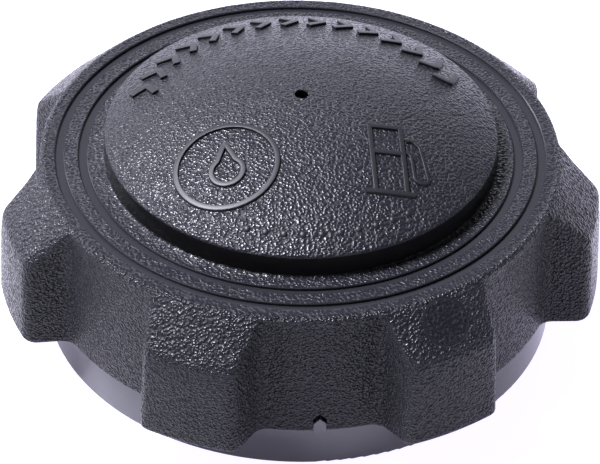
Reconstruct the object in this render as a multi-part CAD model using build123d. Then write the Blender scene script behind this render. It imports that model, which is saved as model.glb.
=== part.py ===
from build123d import *
import os
from math import cos, pi, radians, sin, sqrt, tan

os.makedirs("parts", exist_ok=True)

# Vented, ratcheting fuel filler cap. Millimetres, Z is the filler neck's axis,
# z = 0 is the skirt's lower edge and the indicator notch faces -Y.

# Filler neck and closure
neck_r = 33.0  # root radius of the neck thread in the closure
neck_depth = 13.5  # mouth to gasket
lower_wall = 1.8  # closure wall round the thread, inside the core-out
core_gap = 1.4  # core-out between that wall and the visible skirt
skirt_wall = 1.4
skirt_flare = 0.1  # how much wider the skirt is at its lower edge
skirt_top_t = 1.6
skirt_edge_r = 0.4
skirt_height = 10.2
rib_count = 21
rib_t = 1.2
web_t = 2.2
drum_over = 2.0  # how much wider the drum is than the thread's root
drum_wall = 2.4  # wall round the ratchet ring

# Gasket
gasket_t = 2.2
gasket_width = 6.0
gasket_step = 1.0  # the gasket's pocket is this much smaller than the thread
retainer_t = 1.0
retainer_width = 1.6

# Ratchet
teeth = 24
tooth_h = 1.6
tooth_width = 5.6
ring_t = 2.0
key_count = 6
key_width = 6.0
spring_gap = 3.0  # height of the wave spring at rest
spring_t = 0.5
spring_width = 3.4
spring_waves = 5
backlash_deg = 0.4

# Grip shell
lobes = 7
grip_low = 6.8  # lower edge of the grip
lip_wall = 0.6  # grip wall over the skirt, at the bottom of a valley
valley_draft = 0.25
lobe_reach = 6.25  # valley to lobe face
lobe_half = 7.3  # half width of a lobe face at the lower edge
lobe_foot_half = 8.4  # half width where the lobe leaves the valley
side_draft_deg = 2.5
facet_deg = 45.0
foot_r = 2.4
ridge_r = 2.0
edge_r = 0.9
low_edge_r = 0.9
plate_t = 2.8
rim_in = 0.6  # the flat top ends this far inside the valleys
pocket_wall = 2.2
notch_w = 1.95
notch_h = 3.3
notch_side_h = 2.2

# Ring grooves and crown
groove_w = 1.25
groove_depth = 0.5
outer_land = 1.9  # flat top outside the outer groove
groove_land = 2.15  # between the grooves
crown_land = 2.55  # between the inner groove and the crown's wall
crown_step = 3.6
crown_rise = 7.0
crown_wall = 2.2
crown_edge_r = 0.35
vent_hole_r = 0.95

# Snap ring that holds the grip on
snap_t = 1.4
snap_catch = 0.65  # how far it reaches under the drum
snap_width = 2.05
snap_gap_deg = 8.0

# Vent valve, its radii from the poppet's stem out
stem_r = 1.0
port_gap = 0.8  # stem to the ports in the plate
port_r = 0.5
port_count = 6
poppet_lap = 0.6  # how far the poppet covers past the ports
poppet_gap = 0.8  # poppet inside the seat's rim
seat_rim_w = 0.8
seal_lap = 0.3  # the seal reaches this far inside the seat's rim
seal_out = 1.5  # and this far outside it
plate_edge = 1.1  # the plate's edge outside its seal
plate_gap = 0.6  # pressure plate in its chamber
housing_wall = 1.8
housing_flange_w = 2.0
housing_flange_t = 1.4
hub_wall = 1.9
hub_rise = 3.6  # hub above the web
ball_r = 3.0
ball_travel = 1.7
ball_floor_t = 1.4
guide_ribs = 4
guide_t = 1.3
seat_hole_r = 2.0
seat_t = 1.2
seal_t = 0.7
plate_disc_t = 1.2
plate_travel = 1.4
poppet_travel = 0.9
poppet_t = 0.6
vacuum_spring_h = 2.6
vacuum_spring_gap = 0.57  # stem to the light spring's wire
vacuum_wire_r = 0.18
clip_w = 1.4
clip_t = 0.8
spring_in = 2.2  # the plate's edge outside the pressure spring
pressure_wire_r = 0.35
pressure_turns = 3.5
cap_t = 1.2
cap_hole_r = 3.2
cap_slots = 6
cap_slot_w = 1.6
filter_t = 1.6
grid_t = 0.8
grid_pitch = 2.8
grid_slot_w = 1.5
grid_rim = 1.0
oring_wire_r = 0.6

# Clearances
turn_clear = 0.2  # grip on closure
slide_clear = 0.2  # ratchet ring in the drum
mesh_clear = 0.15  # between the ratchet faces
seat_clear = 0.05  # pieces pressed or laid into each other
guide_clear = 0.25  # ball in its guides
stem_clear = 0.05
axial_clear = 0.3  # drum rim under the grip's plate
stop_clear = 0.3  # what a valve piece keeps free at the end of its travel
snap_play = 0.5  # the snap ring turns in the closure's groove


def ring(outer, inner, low, high):
    """Plain ring between two heights."""
    return Pos(0, 0, low) * extrude(Circle(outer) - Circle(inner), high - low)


def disc(radius, low, high):
    return Pos(0, 0, low) * extrude(Circle(radius), high - low)


def turned(*points):
    """Solid of revolution about Z from (radius, height) points."""
    profile = make_face(Polyline(*points, close=True))
    return revolve(Plane.XZ * profile, Axis.Z, 360)


def around(count, shape, start=0.0):
    """Copies of a shape spaced evenly about Z."""
    return [Rot(0, 0, start + 360 / count * i) * shape for i in range(count)]


# Heights, from the neck's mouth up
gasket_z = neck_depth
web_z = gasket_z + gasket_t
web_top = web_z + web_t
ring_z = web_top + spring_gap
tooth_root_z = ring_z + ring_t
tooth_top_z = tooth_root_z + tooth_h
plate_z = tooth_top_z + mesh_clear
rim_z = plate_z + plate_t
drum_top = plate_z - axial_clear
crown_z = rim_z + crown_step
apex_z = crown_z + crown_rise

# Radii, from the neck out
port_ring_r = stem_r + port_gap + port_r
poppet_r = port_ring_r + port_r + poppet_lap
seat_rim_r = poppet_r + poppet_gap + seat_rim_w
seal_outer_r = seat_rim_r + seal_out
seal_inner_r = seat_rim_r - seat_rim_w - seal_lap
plate_disc_r = seal_outer_r + plate_edge
pressure_spring_r = plate_disc_r - spring_in
vacuum_spring_r = stem_r + vacuum_spring_gap + vacuum_wire_r
clip_r = stem_r + clip_w
chamber_r = plate_disc_r + plate_gap
housing_r = chamber_r + housing_wall
lower_r = neck_r + lower_wall
core_r = lower_r + core_gap
skirt_r = core_r + skirt_wall
drum_r = neck_r + drum_over
drum_bore_r = drum_r - drum_wall
grip_bore_r = drum_r + turn_clear
lip_r = skirt_r + skirt_flare + turn_clear
valley_r = lip_r + lip_wall
lobe_r = valley_r + lobe_reach
rim_land = valley_r - rim_in
groove_outer_r = rim_land - outer_land
groove_inner_r = groove_outer_r - groove_w - groove_land
crown_r = groove_inner_r - groove_w - crown_land
pitch_deg = 360 / teeth
ring_outer_r = drum_bore_r - slide_clear
ring_inner_r = ring_outer_r - tooth_width
crown_ball_r = (crown_r**2 + crown_rise**2) / (2 * crown_rise)
crown_centre_z = apex_z - crown_ball_r
crown_inner_r = crown_r - crown_wall


def lobed_plan(valley, half_face, half_foot, reach):
    """Plan of the grip: a circle with seven tapering lobes and soft feet."""
    slope = (half_foot - half_face) / reach
    inner = valley * 0.8
    outer = valley + reach + 4
    low = half_foot + slope * (valley - inner)
    high = half_foot - slope * (outer - valley)
    lobe = make_face(Polyline((-low, inner), (low, inner), (high, outer), (-high, outer), close=True))
    plan = Circle(valley) + around(lobes, lobe)
    feet = plan.vertices().filter_by(lambda v: abs(Vector(v.X, v.Y).length - valley) < 0.5)
    return fillet(feet, foot_r)


def meeting_edges(part, least_deg):
    """Edges along which two faces meet at more than an angle."""
    pairs = {}
    for face in part.faces():
        for edge in face.edges():
            middle = edge.position_at(0.5)
            key = (round(middle.X, 2), round(middle.Y, 2), round(middle.Z, 2))
            pairs.setdefault(key, []).append((edge, face))
    found = []
    for sides in pairs.values():
        if len(sides) == 2:
            edge, face = sides[0]
            middle = edge.position_at(0.5)
            if face.normal_at(middle).get_angle(sides[1][1].normal_at(middle)) > least_deg:
                found.append(edge)
    return found


# Grip shell: a revolved blank gives the lobe faces, ridges and sloping facets,
# and a lobed prism cuts it to shape.
grip_height = rim_z - grip_low
shrink = grip_height * tan(radians(side_draft_deg))
facet_fall = tan(radians(facet_deg))
face_top_r = lobe_r - shrink * 0.6
ridge_z = rim_z - (face_top_r - rim_land) * facet_fall
blank_line = make_face(
    Polyline((0, grip_low), (lobe_r, grip_low), (face_top_r, ridge_z), (rim_land, rim_z), (0, rim_z), close=True)
)
ridge = blank_line.vertices().filter_by(lambda v: abs(v.Y - ridge_z) < 0.01)
blank_line = fillet(ridge, ridge_r)
low_corner = blank_line.vertices().filter_by(lambda v: abs(v.X - lobe_r) < 0.01)
blank_line = fillet(low_corner, low_edge_r)
blank = revolve(Plane.XZ * blank_line, Axis.Z, 360)
low_plan = lobed_plan(valley_r, lobe_half, lobe_foot_half, lobe_reach)
high_plan = lobed_plan(valley_r - valley_draft, lobe_half - shrink, lobe_foot_half - shrink * 0.4, lobe_reach)
prism = loft([Pos(0, 0, grip_low - 1) * low_plan, Pos(0, 0, rim_z + 1) * high_plan], ruled=True)
grip = blank & prism
outline = [
    e
    for e in meeting_edges(grip, 18)
    if e.position_at(0.5).Z > grip_low + 0.1 and abs(e.position_at(0.5).Z - rim_z) > 0.01
]
grip = fillet(outline, edge_r)

# Crown: a short wall under a shallow spherical top, hollow to an even thickness.
crown_ball = Pos(0, 0, crown_centre_z) * Sphere(crown_ball_r)
crown = disc(crown_r, plate_z, apex_z + 1) & crown_ball
crown = fillet(crown.edges().filter_by(lambda e: abs(e.center().Z - crown_z) < 0.1), crown_edge_r)
grip += crown
crown_hollow = disc(crown_inner_r, plate_z - 1, apex_z)
crown_hollow &= Pos(0, 0, crown_centre_z) * Sphere(crown_ball_r - crown_wall)
grip -= crown_hollow
grip -= disc(vent_hole_r, rim_z, apex_z + 1)
for outer in (groove_outer_r, groove_inner_r):
    grip -= ring(outer, outer - groove_w, rim_z - groove_depth, rim_z + 1)

# Bore of the grip: it turns on the drum, and its lip hangs over the skirt.
shoulder_z = skirt_height + turn_clear
snap_low = shoulder_z + 2.0
snap_r = drum_r - snap_catch
snap_outer_r = snap_r + snap_width
grip -= disc(grip_bore_r, grip_low - 1, plate_z)
grip -= disc(lip_r, grip_low - 1, shoulder_z)
grip -= ring(snap_outer_r + seat_clear, grip_bore_r - 1, snap_low - seat_clear, snap_low + snap_t + seat_clear)

# Cored-out pockets behind the lobes keep the moulding's walls even.
pocket_r = lobe_r - pocket_wall
pocket_drop = pocket_wall / cos(radians(facet_deg))
pocket_space = turned(
    (lip_r - 0.01, grip_low - 1),
    (pocket_r, grip_low - 1),
    (pocket_r - shrink * 0.6, ridge_z - pocket_drop + shrink * 0.6),
    (lip_r - 0.01, rim_z - pocket_drop - (lip_r - rim_land) * facet_fall),
)
pocket_half = lobe_half - shrink - pocket_wall
pocket_foot_half = lobe_foot_half - shrink - pocket_wall
pocket_plan = make_face(
    Polyline(
        (-pocket_foot_half, valley_r * 0.9),
        (pocket_foot_half, valley_r * 0.9),
        (pocket_half, lobe_r),
        (-pocket_half, lobe_r),
        close=True,
    )
)
pocket = pocket_space & Pos(0, 0, grip_low - 1) * extrude(pocket_plan, grip_height)
grip -= around(lobes, pocket)

# Indicator notch: a small house shape in the lip of the valley that faces -Y.
notch = make_face(
    Polyline(
        (-notch_w / 2, grip_low - 1),
        (notch_w / 2, grip_low - 1),
        (notch_w / 2, grip_low + notch_side_h),
        (0, grip_low + notch_h),
        (-notch_w / 2, grip_low + notch_side_h),
        close=True,
    )
)
grip -= Pos(0, -lip_r + 1, 0) * extrude(Plane.XZ * notch, lip_wall + 3)

# One-way face teeth under the grip's plate, in mesh with the ratchet ring.
tooth_half = tan(radians(pitch_deg / 2))


def face_teeth(points, root_z, turn_deg):
    """A ring of teeth whose edges all point at the axis.

    points gives the tooth's section, with x as a share of half a tooth. The
    outer ends are flat and their corners stay on the ring's outer radius.
    """
    sides = []
    for r in (ring_inner_r, ring_outer_r * cos(radians(pitch_deg / 2))):
        section = make_face(Polyline(*[(x * tooth_half * r, y) for x, y in points], close=True))
        sides.append(Plane((0, r, root_z), x_dir=(-1, 0, 0), z_dir=(0, 1, 0)) * section)
    return around(teeth, loft(sides, ruled=True), turn_deg)


grip_tooth = [(-1, tooth_h + 0.4), (1, tooth_h + 0.4), (1, 0), (-1, tooth_h)]
grip += face_teeth(grip_tooth, plate_z - tooth_h, -backlash_deg)

# Closure: threaded wall, visible skirt with a ribbed core-out, web, hub and drum.
hub_r = housing_r + seat_clear
hub_outer_r = hub_r + hub_wall
hub_low = gasket_z + 0.1
hub_top = web_top + hub_rise
pocket_gasket_r = neck_r - gasket_step
core_top = skirt_height - skirt_top_t
snap_groove_r = snap_r - turn_clear
closure = turned(
    (skirt_r + skirt_flare, 0),
    (skirt_r, skirt_height),
    (drum_r, skirt_height),
    (drum_r, snap_low - snap_play),
    (snap_groove_r, snap_low - snap_play),
    (snap_groove_r, snap_low + snap_t + snap_play),
    (drum_r, snap_low + snap_t + snap_play),
    (drum_r, drum_top),
    (drum_bore_r, drum_top),
    (drum_bore_r, web_top),
    (hub_outer_r, web_top),
    (hub_outer_r, hub_top),
    (hub_r, hub_top),
    (hub_r, hub_low),
    (hub_outer_r, hub_low),
    (hub_outer_r, web_z),
    (pocket_gasket_r, web_z),
    (pocket_gasket_r, gasket_z),
    (neck_r, gasket_z),
    (neck_r, 0),
    (lower_r, 0),
    (lower_r, core_top),
    (core_r, core_top),
    (core_r, 0),
)
skirt_edge = closure.edges().filter_by(
    lambda e: abs(e.center().Z) < 0.01 and abs(e.length - 2 * pi * (skirt_r + skirt_flare)) < 0.1
)
closure = fillet(skirt_edge, skirt_edge_r)
rib_length = core_gap + 0.4
rib = Pos(0, (lower_r + core_r) / 2, (core_top + 0.8) / 2) * Box(rib_t, rib_length, core_top - 0.4)
closure += around(rib_count, rib)
slot_width = key_width + 2 * slide_clear
slot_height = drum_top - web_top
slot = Pos(0, drum_bore_r + drum_wall / 2, web_top + slot_height / 2) * Box(slot_width, drum_wall * 2, slot_height)
closure -= around(key_count, slot)

# Ratchet ring: teeth above, keys that slide in the drum's slots.
ratchet = ring(ring_outer_r, ring_inner_r, ring_z, tooth_root_z)
key_r = drum_r - slide_clear
key = Pos(0, (ring_outer_r + key_r) / 2 - 0.5, (ring_z + tooth_root_z) / 2)
key *= Box(key_width, key_r - ring_outer_r + 1, ring_t)
ratchet += around(key_count, key & disc(key_r, ring_z, tooth_root_z))
ring_tooth = [(-1, -0.4), (1, -0.4), (1, 0), (-1, tooth_h)]
ratchet += face_teeth(ring_tooth, tooth_root_z, 0)

# Wave spring: a flat washer bent into even waves.
wave_r = ring_outer_r - slide_clear - spring_width / 2
wave_lift = (spring_gap - spring_t - 2 * seat_clear) / 2
wave_z = web_top + seat_clear + wave_lift


def wave_edge(r, count=9):
    """One wave of the spring's lower edge, from crest to crest."""
    points = []
    for i in range(count):
        share = i / (count - 1)
        angle = 2 * pi / spring_waves * share
        points.append((r * cos(angle), r * sin(angle), wave_z + wave_lift * cos(2 * pi * share)))
    last = 2 * pi / spring_waves
    return Spline(*points, tangents=[(0, 1, 0), (-sin(last), cos(last), 0)])


wave_face = Face.make_surface_from_curves(
    wave_edge(wave_r - spring_width / 2).edge(), wave_edge(wave_r + spring_width / 2).edge()
)
wave = extrude(wave_face, spring_t, dir=(0, 0, 1))
wave_spring = wave.fuse(*around(spring_waves, wave)[1:])

# Split ring in the grip's groove, under the drum's flange.
retaining = ring(snap_outer_r, snap_r, snap_low, snap_low + snap_t)
gap_half = snap_outer_r * sin(radians(snap_gap_deg / 2))
retaining -= Pos(0, snap_outer_r, snap_low) * Box(gap_half * 2, snap_width * 4, snap_t * 4)

# Gasket and the ring that holds its inner edge.
gasket_outer_r = pocket_gasket_r - seat_clear
gasket_inner_r = gasket_outer_r - gasket_width
gasket = ring(gasket_outer_r, gasket_inner_r, gasket_z, web_z)
retainer_outer_r = gasket_inner_r - seat_clear
retainer = ring(retainer_outer_r, retainer_outer_r - retainer_width, web_z - gasket_t + retainer_t / 2, web_z)

# Valve housing: ball chamber below, seat web in the middle, valve chamber above.
floor_z = hub_low + ball_floor_t
ball_z = floor_z + seat_clear + ball_r
seat_low = ball_z + ball_travel + sqrt(ball_r**2 - seat_hole_r**2) + 0.1
seat_top = seat_low + seat_t
rim_top = seat_top + poppet_travel + poppet_t + stop_clear - seal_t
seal_z = rim_top + seat_clear
plate_low = seal_z + seal_t
plate_top = plate_low + plate_disc_t
clip_z = plate_top + vacuum_spring_h
stem_top = clip_z + clip_t + 0.2
filter_z = stem_top + plate_travel + stop_clear
cap_z = filter_z - cap_t
housing_top = filter_z + filter_t
grid_top = housing_top + grid_t
flange_r = housing_r + housing_flange_w
groove_z = (web_top + hub_top) / 2
groove_half = oring_wire_r + 0.1
groove_r = hub_r - 2 * oring_wire_r - 0.02
housing = turned(
    (housing_r, hub_low),
    (housing_r, groove_z - groove_half),
    (groove_r, groove_z - groove_half),
    (groove_r, groove_z + groove_half),
    (housing_r, groove_z + groove_half),
    (housing_r, hub_top),
    (flange_r, hub_top),
    (flange_r, hub_top + housing_flange_t),
    (housing_r, hub_top + housing_flange_t),
    (housing_r, housing_top),
    (chamber_r, housing_top),
    (chamber_r, seat_top),
    (seat_rim_r, seat_top),
    (seat_rim_r, rim_top),
    (seat_rim_r - seat_rim_w, rim_top),
    (seat_rim_r - seat_rim_w, seat_top),
    (seat_hole_r, seat_top),
    (seat_hole_r, seat_low),
    (chamber_r, seat_low),
    (chamber_r, hub_low),
)
guide_inner = ball_r + guide_clear
guide_length = chamber_r - guide_inner + 0.3
guide = Pos(0, guide_inner + guide_length / 2, (floor_z + seat_low) / 2 + 0.05)
guide *= Box(guide_t, guide_length, seat_low - floor_z + 0.1)
housing += around(guide_ribs, guide)
oring = Pos(0, 0, groove_z) * Torus(hub_r - oring_wire_r - 0.01, oring_wire_r - 0.005)

# Ball cage floor, with holes for the vapour.
floor_disc = disc(chamber_r - seat_clear, hub_low, floor_z)
floor_hole = Pos(0, chamber_r * 0.62, hub_low) * extrude(Circle(chamber_r * 0.17), ball_floor_t)
floor_disc -= around(8, floor_hole)
ball = Pos(0, 0, ball_z) * Sphere(ball_r)

# Pressure plate with its seal, ports and the rib that centres the spring.
plate = disc(plate_disc_r, plate_low, plate_top)
spigot_r = pressure_spring_r - pressure_wire_r - 0.1
plate += ring(spigot_r, spigot_r - 0.6, plate_top - 0.1, plate_top + 0.5)
plate -= disc(stem_r + stem_clear, plate_low - 1, plate_top + 1)
port = Pos(0, port_ring_r, plate_low - 0.5) * extrude(Circle(port_r), plate_disc_t + 1)
plate -= around(port_count, port)
seal = ring(seal_outer_r, seal_inner_r, seal_z, plate_low)

# Vacuum poppet: disc under the plate, stem through it, clip on top.
poppet_top = plate_low - seat_clear
poppet = disc(poppet_r, poppet_top - poppet_t, poppet_top)
poppet += disc(stem_r, poppet_top - poppet_t, stem_top)
clip = ring(clip_r, stem_r + seat_clear / 2, clip_z, clip_z + clip_t)


def coil(radius, wire, low, high, turns):
    """Compression spring standing between two heights."""
    bottom = low + wire + 0.02
    rise = high - low - 2 * wire - 0.04
    path = Pos(0, 0, bottom) * Helix(pitch=rise / turns, height=rise, radius=radius)
    section = Plane(origin=path @ 0, z_dir=path % 0) * Circle(wire)
    return sweep(section, path, is_frenet=True)


vacuum_spring = coil(vacuum_spring_r, vacuum_wire_r, plate_top, clip_z, 4)
pressure_spring = coil(pressure_spring_r, pressure_wire_r, plate_top, cap_z, pressure_turns)

# Spring cap, foam filter and the grid over it.
cap = disc(chamber_r - seat_clear, cap_z, filter_z) - disc(cap_hole_r, cap_z, filter_z)
cap_slot_r = pressure_spring_r + pressure_wire_r + seat_clear + cap_slot_w / 2
cap_slot = Pos(0, cap_slot_r, cap_z + cap_t / 2) * Box(cap_slot_w, cap_slot_w, cap_t * 2)
cap -= around(cap_slots, cap_slot)
foam = disc(chamber_r - seat_clear, filter_z, housing_top)
grid = disc(housing_r, housing_top, grid_top)
grid_side = int((chamber_r - grid_rim - grid_slot_w / 2) / grid_pitch)
for column in range(-grid_side, grid_side + 1):
    length = 2 * sqrt((chamber_r - grid_rim) ** 2 - (column * grid_pitch) ** 2)
    slot = Box(grid_slot_w, length, grid_t * 2)
    grid -= Pos(column * grid_pitch, 0, housing_top + grid_t / 2) * slot

pieces = {
    "grip_shell": grip,
    "closure_body": closure,
    "ratchet_ring": ratchet,
    "wave_spring": wave_spring,
    "retaining_ring": retaining,
    "neck_gasket": gasket,
    "gasket_retainer": retainer,
    "valve_housing": housing,
    "housing_oring": oring,
    "ball_retainer": floor_disc,
    "rollover_ball": ball,
    "pressure_plate": plate,
    "pressure_seal": seal,
    "pressure_spring": pressure_spring,
    "vacuum_poppet": poppet,
    "vacuum_spring": vacuum_spring,
    "vacuum_clip": clip,
    "spring_cap": cap,
    "vent_filter": foam,
    "filter_grid": grid,
}
for node, piece in pieces.items():
    export_step(piece, f"parts/{node}.step")
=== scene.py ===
from math import acos, atan2, cos, degrees, pi, radians, sin, sqrt, tan

import bmesh
import bpy
from mathutils import Matrix, Vector


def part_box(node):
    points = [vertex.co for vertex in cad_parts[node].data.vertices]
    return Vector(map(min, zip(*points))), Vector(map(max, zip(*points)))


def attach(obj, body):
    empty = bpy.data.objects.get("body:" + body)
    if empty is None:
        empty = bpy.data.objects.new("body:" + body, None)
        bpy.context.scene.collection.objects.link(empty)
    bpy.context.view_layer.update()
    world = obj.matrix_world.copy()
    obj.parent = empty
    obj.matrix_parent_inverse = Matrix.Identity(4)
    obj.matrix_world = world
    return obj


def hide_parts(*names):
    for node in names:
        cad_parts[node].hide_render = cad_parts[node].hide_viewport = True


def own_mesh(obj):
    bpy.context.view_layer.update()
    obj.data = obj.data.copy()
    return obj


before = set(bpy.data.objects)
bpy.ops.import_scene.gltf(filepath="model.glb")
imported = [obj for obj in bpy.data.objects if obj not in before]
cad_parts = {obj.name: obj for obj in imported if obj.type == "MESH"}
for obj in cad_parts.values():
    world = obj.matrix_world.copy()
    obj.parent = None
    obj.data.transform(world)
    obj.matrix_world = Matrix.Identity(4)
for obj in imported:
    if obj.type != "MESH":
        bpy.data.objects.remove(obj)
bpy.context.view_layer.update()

# Closure: the inner screw cap. Its smooth skirt is the only part that shows, and the
# neck thread is moulded on the inside of its lower wall as one tapering ridge. It is
# an injection moulding in satin black. Sizes here are millimetres; mm turns them to metres.
mm = 0.001
neck_r = 33.0
ridge_crest_r = 31.2
ridge_pitch = 5.0
ridge_turns = 1.7
ridge_z = 1.8
ridge_half = 1.5
ridge_tip_half = 0.45


class Wire:
    """A socket of a node tree. Sums and products of wires add Math nodes to it."""

    def __init__(self, tree, socket=None):
        self.tree = tree
        self.socket = socket

    def make(self, kind, settings=None, inputs=None, output=0):
        """Adds a node: its settings are set first, then its inputs are filled or linked."""
        node = self.tree.nodes.new(kind)
        for name, value in (settings or {}).items():
            if name == "choices":
                while len(node.index_switch_items) < value:
                    node.index_switch_items.new()
            else:
                setattr(node, name, value)
        for name, value in (inputs or {}).items():
            if isinstance(value, list):
                for wire in value:
                    wire.into(node.inputs[name])
            elif isinstance(value, Wire):
                value.into(node.inputs[name])
            else:
                node.inputs[name].default_value = value
        return Wire(self.tree, node.outputs[output] if node.outputs else None)

    def out(self, name):
        return Wire(self.tree, self.socket.node.outputs[name])

    def math(self, operation, *values):
        return self.make("ShaderNodeMath", {"operation": operation}, dict(enumerate(values)))

    def vector(self, operation, *values):
        return self.make("ShaderNodeVectorMath", {"operation": operation}, dict(enumerate(values)))

    def place(self):
        """The point's own place on the piece."""
        return self.make("ShaderNodeTexCoord").out("Object")

    def parted(self, vector):
        """The three coordinates of a vector."""
        split = self.make("ShaderNodeSeparateXYZ", None, {0: vector})
        return [split.out(axis) for axis in "XYZ"]

    def joined(self, **axes):
        """A vector from its X, Y and Z; one left out is zero."""
        return self.make("ShaderNodeCombineXYZ", None, axes)

    def noise(self, place, scale, detail, **more):
        inputs = {"Vector": place, "Scale": scale, "Detail": detail, **more}
        return self.make("ShaderNodeTexNoise", None, inputs)

    def mapped(self, value, span, to=(0.0, 1.0)):
        """A value carried from one span to another and held at its ends."""
        inputs = {"Value": value, "From Min": span[0], "From Max": span[1]}
        inputs.update({"To Min": to[0], "To Max": to[1]})
        return self.make("ShaderNodeMapRange", None, inputs)

    def mixed(self, share, first, second):
        """A colour between two, by a share."""
        inputs = {0: share, 6: (*first, 1.0), 7: (*second, 1.0)}
        return self.make("ShaderNodeMix", {"data_type": "RGBA"}, inputs, 2)

    def bumped(self, height, distance, strength):
        """A shading normal from a height, over a distance in metres."""
        inputs = {"Height": height, "Distance": distance, "Strength": strength}
        return self.make("ShaderNodeBump", None, inputs)

    def into(self, socket):
        self.tree.links.new(self.socket, socket)

    def __add__(self, other):
        return self.math("ADD", self, other)

    def __sub__(self, other):
        return self.math("SUBTRACT", self, other)

    def __rsub__(self, other):
        return self.math("SUBTRACT", other, self)

    def __mul__(self, other):
        return self.math("MULTIPLY", self, other)

    def __truediv__(self, other):
        return self.math("DIVIDE", self, other)

    def __neg__(self):
        return self.math("MULTIPLY", self, -1.0)


def grown(name, sizes, build, sharp_deg=40.0):
    """Builds a Geometry Nodes tree with named inputs and keeps its result as a plain mesh."""
    kinds = {float: "Float", int: "Int", bpy.types.Object: "Object", bpy.types.Material: "Material"}
    tree = bpy.data.node_groups.new(name, "GeometryNodeTree")
    tree.interface.new_socket("Mesh", in_out="OUTPUT", socket_type="NodeSocketGeometry")
    for label, value in sizes.items():
        kind = "NodeSocket" + kinds[type(value)]
        tree.interface.new_socket(label, in_out="INPUT", socket_type=kind)
    start = tree.nodes.new("NodeGroupInput")
    end = tree.nodes.new("NodeGroupOutput")
    wires = {label: Wire(tree, start.outputs[label]) for label in sizes}
    shape = build(Wire(tree), wires)
    small = shape.make("GeometryNodeTransform", None, {"Geometry": shape, "Scale": (mm, mm, mm)})
    small.into(end.inputs[0])
    maker = bpy.data.objects.new(name, bpy.data.meshes.new(name + "_start"))
    bpy.context.scene.collection.objects.link(maker)
    modifier = maker.modifiers.new("growth", "NODES")
    modifier.node_group = tree
    for item in tree.interface.items_tree:
        if item.in_out == "INPUT":
            modifier[item.identifier] = sizes[item.name]
    bpy.context.view_layer.update()
    graph = bpy.context.evaluated_depsgraph_get()
    mesh = bpy.data.meshes.new_from_object(maker.evaluated_get(graph))
    maker.modifiers.remove(modifier)
    maker.data = mesh
    while None in list(mesh.materials):
        mesh.materials.pop(index=list(mesh.materials).index(None))
    solid = bmesh.new()
    solid.from_mesh(mesh)
    bmesh.ops.recalc_face_normals(solid, faces=solid.faces)
    solid.to_mesh(mesh)
    solid.free()
    mesh.polygons.foreach_set("use_smooth", [True] * len(mesh.polygons))
    mesh.set_sharp_from_angle(angle=radians(sharp_deg))
    return maker


def plastic(name, colour, roughness, ior=1.5):
    """A Principled material with its steady values set on it; returns it, a wire and the shader."""
    material = bpy.data.materials.new(name)
    material.use_nodes = True
    shader = material.node_tree.nodes["Principled BSDF"]
    shader.inputs["Base Color"].default_value = (*colour, 1.0)
    shader.inputs["Roughness"].default_value = roughness
    shader.inputs["IOR"].default_value = ior
    return material, Wire(material.node_tree), shader


def finished(wire, mesh, material):
    """The end of a tree: real geometry with its material."""
    mesh = wire.make("GeometryNodeRealizeInstances", None, {"Geometry": mesh})
    return wire.make("GeometryNodeSetMaterial", None, {"Geometry": mesh, "Material": material})


def wound_ridge(wire, size):
    """A grid wound round the axis as a helix; both ends sink into the wall."""
    steps = 200
    corners = 7
    taper_rate = 9  # an end tapers over a ninth of the ridge's length
    section = {"Vertices X": steps + 1, "Vertices Y": corners}
    section = wire.make("GeometryNodeMeshGrid", None, section)
    index = wire.make("GeometryNodeInputIndex")
    column = wire.math("FLOOR", (index + 0.5) / corners)
    corner = index - column * corners
    share = column / steps
    taper = wire.math("SMOOTH_MIN", share * taper_rate, (1 - share) * taper_rate, 0.1)
    taper = wire.math("MINIMUM", taper, 1.0)
    taper = wire.make("ShaderNodeClamp", None, {0: taper, 1: 0.0, 2: 1.0})

    def choose(values):
        switch = {"Index": corner}
        switch.update({i + 1: float(value) for i, value in enumerate(values)})
        settings = {"data_type": "FLOAT", "choices": corners}
        return wire.make("GeometryNodeIndexSwitch", settings, switch)

    depth = choose((-0.1, -0.1, 0.85, 1.0, 1.0, 0.85, -0.1))
    side = choose((-1, 1, 0.42, 0.3, -0.3, -0.42, -1))
    r = size["Root radius"] - (size["Root radius"] - size["Crest radius"]) * depth * taper
    turn = share * size["Turns"] * (2 * pi)
    z = size["First height"] + share * size["Turns"] * size["Pitch"]
    z = z + side * size["Half width"] * taper
    place = wire.joined(X=r * wire.math("COSINE", turn), Y=r * wire.math("SINE", turn), Z=z)
    ridge = wire.make("GeometryNodeSetPosition", None, {"Geometry": section, "Position": place})
    ridge = wire.make("GeometryNodeMergeByDistance", None, {"Geometry": ridge, "Distance": 0.001})
    return finished(wire, ridge, size["Plastic"])


def flow_marked(name, colour, roughness, mark=0.06, ior=1.5):
    """Smooth moulded plastic: faint flow marks in the gloss and a slight waviness."""
    material, wire, shader = plastic(name, colour, roughness, ior)
    place = wire.place()
    flow = wire.noise(place, 45.0, 4.0, Distortion=1.2)
    gloss = (flow - 0.5) * mark + roughness
    gloss.into(shader.inputs["Roughness"])
    skin = wire.noise(place, 260.0, 3.0)
    wire.bumped(skin, 0.00002, 0.6).into(shader.inputs["Normal"])
    return material


skirt_black = flow_marked("skirt_black", (0.06, 0.058, 0.073), 0.2, ior=1.65)
ridge_sizes = {
    "Root radius": neck_r,
    "Crest radius": ridge_crest_r,
    "Turns": ridge_turns,
    "Pitch": ridge_pitch,
    "First height": ridge_z,
    "Half width": ridge_half,
    "Plastic": skirt_black,
}
thread_ridge = grown("thread_ridge", ridge_sizes, wound_ridge)
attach(thread_ridge, "closure")


def dress(material, *names):
    """Gives some of the part's own pieces a material."""
    for name in names:
        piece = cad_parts[name]
        piece.data.materials.clear()
        piece.data.materials.append(material)


dress(skirt_black, "closure_body", "retaining_ring")

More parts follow.
